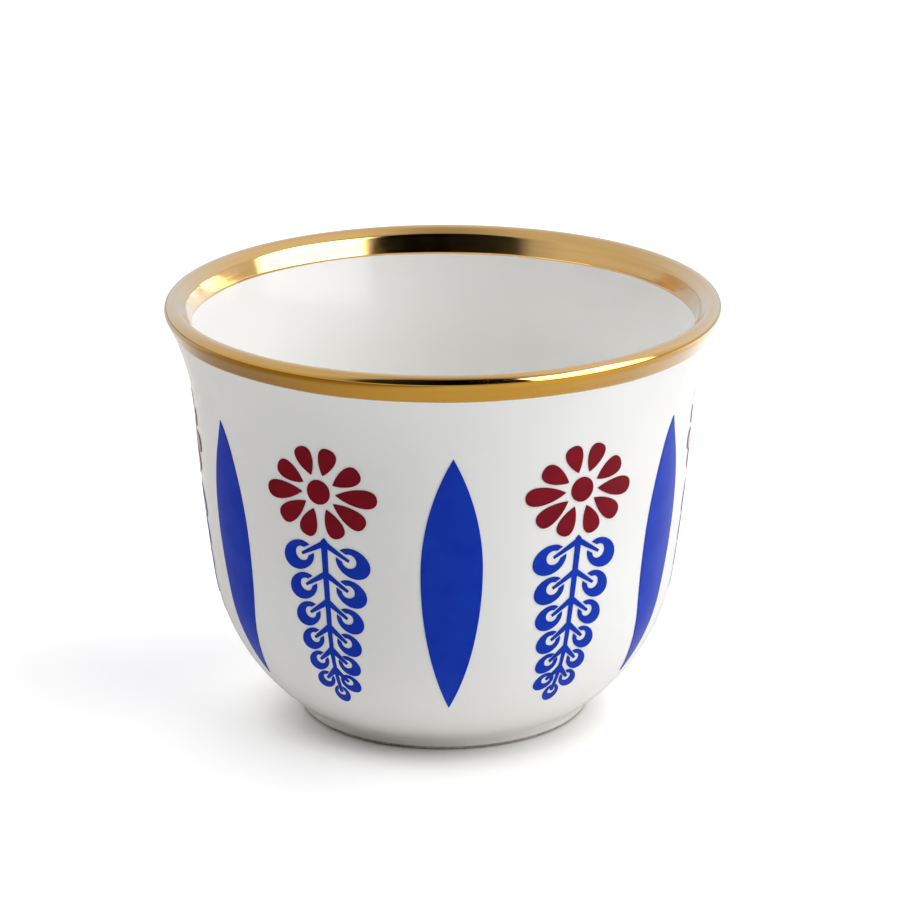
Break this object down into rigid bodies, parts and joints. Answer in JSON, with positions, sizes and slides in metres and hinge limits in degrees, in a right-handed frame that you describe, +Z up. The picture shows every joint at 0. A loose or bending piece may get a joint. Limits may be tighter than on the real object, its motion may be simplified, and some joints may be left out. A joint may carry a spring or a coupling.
{
  "type": "arabic coffee cup",
  "caption": "Small handleless coffee cup with a flared gold rim, a low foot ring and a painted band of tall blue leaves, red flowers and hanging curled sprigs.",
  "frame": {"origin": "on the cup's axis, in the plane that its foot ring rests on", "axes": "+Z up along the axis of the cup; -Y through the middle of a tall blue leaf, the side shown in front"},
  "size_m": [0.065, 0.065, 0.0501],
  "materials": {
    "clay": "bare fired clay, matt",
    "white_glaze": "glossy white glaze",
    "gold": "bright fired gold",
    "blue_enamel": "glossy cobalt blue overglaze",
    "red_enamel": "glossy dark red overglaze"
  },
  "bodies": {
    "root": {"cup_body": "clay", "glaze_coat": "white_glaze", "gold_rim": "gold", "blue_leaf_1": "blue_enamel", "blue_leaf_2": "blue_enamel", "blue_leaf_3": "blue_enamel", "blue_leaf_4": "blue_enamel", "blue_leaf_5": "blue_enamel", "blue_leaf_6": "blue_enamel", "red_flower_1": "red_enamel", "red_flower_2": "red_enamel", "red_flower_3": "red_enamel", "red_flower_4": "red_enamel", "red_flower_5": "red_enamel", "red_flower_6": "red_enamel", "blue_sprig_1": "blue_enamel", "blue_sprig_2": "blue_enamel", "blue_sprig_3": "blue_enamel", "blue_sprig_4": "blue_enamel", "blue_sprig_5": "blue_enamel", "blue_sprig_6": "blue_enamel"}
  },
  "joints": []
}
